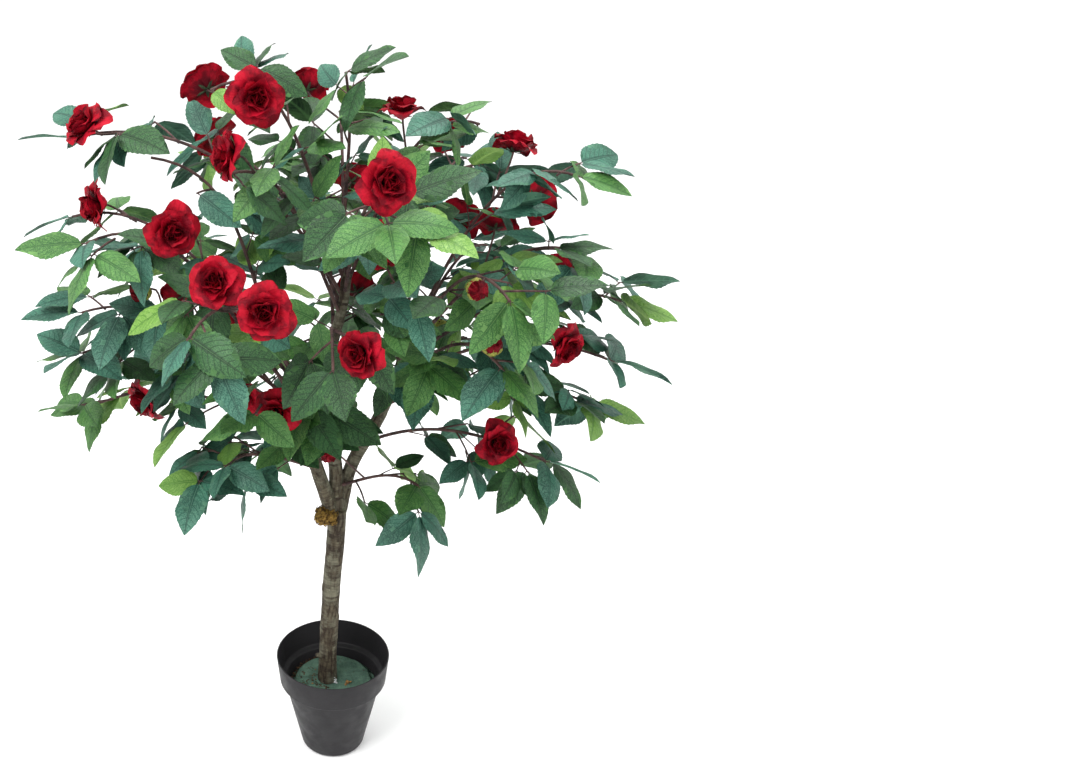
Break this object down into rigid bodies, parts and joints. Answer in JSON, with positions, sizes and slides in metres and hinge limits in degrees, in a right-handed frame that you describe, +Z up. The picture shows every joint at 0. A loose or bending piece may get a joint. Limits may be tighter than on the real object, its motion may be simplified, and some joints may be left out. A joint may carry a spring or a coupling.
{
  "type": "artificial camellia tree in a nursery pot",
  "caption": "Artificial camellia tree: a natural-wood trunk with forked boughs, fabric leaves and double red blooms, standing in a plain tapered pot.",
  "frame": {"origin": "centre of the pot's flat underside, at the mount base", "axes": "+Z up along the trunk, -Y towards the front, +X to the right seen from the front"},
  "size_m": [0.9562, 0.8089, 1.1809],
  "materials": {
    "pot": "satin dark grey plastic",
    "foam": "matt green foam",
    "bark": "natural bark, grey-brown, fine bands",
    "moss": "dried moss",
    "foliage": "printed green fabric leaves and red fabric blooms on dark wire-cored stems"
  },
  "bodies": {
    "root": {"pot": "pot", "foam_fill": "foam", "trunk": "bark", "bough_left": "bark", "bough_centre": "bark", "bough_right": "bark", "moss_fork": "moss", "moss_left_bough_top": "moss", "moss_right_bough_top": "moss", "spray_crown_tip": "foliage", "spray_top_left_arch": "foliage", "spray_upper_left": "foliage", "spray_left_shoulder": "foliage", "spray_inner_left_rise": "foliage", "spray_left_high": "foliage", "spray_left_front": "foliage", "spray_left_middle": "foliage", "spray_front_left": "foliage", "spray_left_low_mid": "foliage", "spray_left_low": "foliage", "spray_left_skirt": "foliage", "spray_front_high": "foliage", "spray_front_centre": "foliage", "spray_front_low_left": "foliage", "spray_front_skirt": "foliage", "spray_right_skirt": "foliage", "spray_right_low": "foliage", "spray_right_low_mid": "foliage", "spray_right_middle": "foliage", "spray_right_upper_mid": "foliage", "spray_right_high": "foliage", "spray_top_right": "foliage", "spray_front_right": "foliage", "spray_front_right_low": "foliage", "spray_front_middle": "foliage", "spray_right_rise": "foliage", "spray_back_high": "foliage", "spray_back_left_high": "foliage", "spray_back_left": "foliage", "spray_back_left_low": "foliage", "spray_back_low": "foliage", "spray_back_middle": "foliage", "spray_back_right": "foliage", "spray_back_right_low": "foliage", "spray_back_right_high": "foliage"}
  },
  "joints": []
}
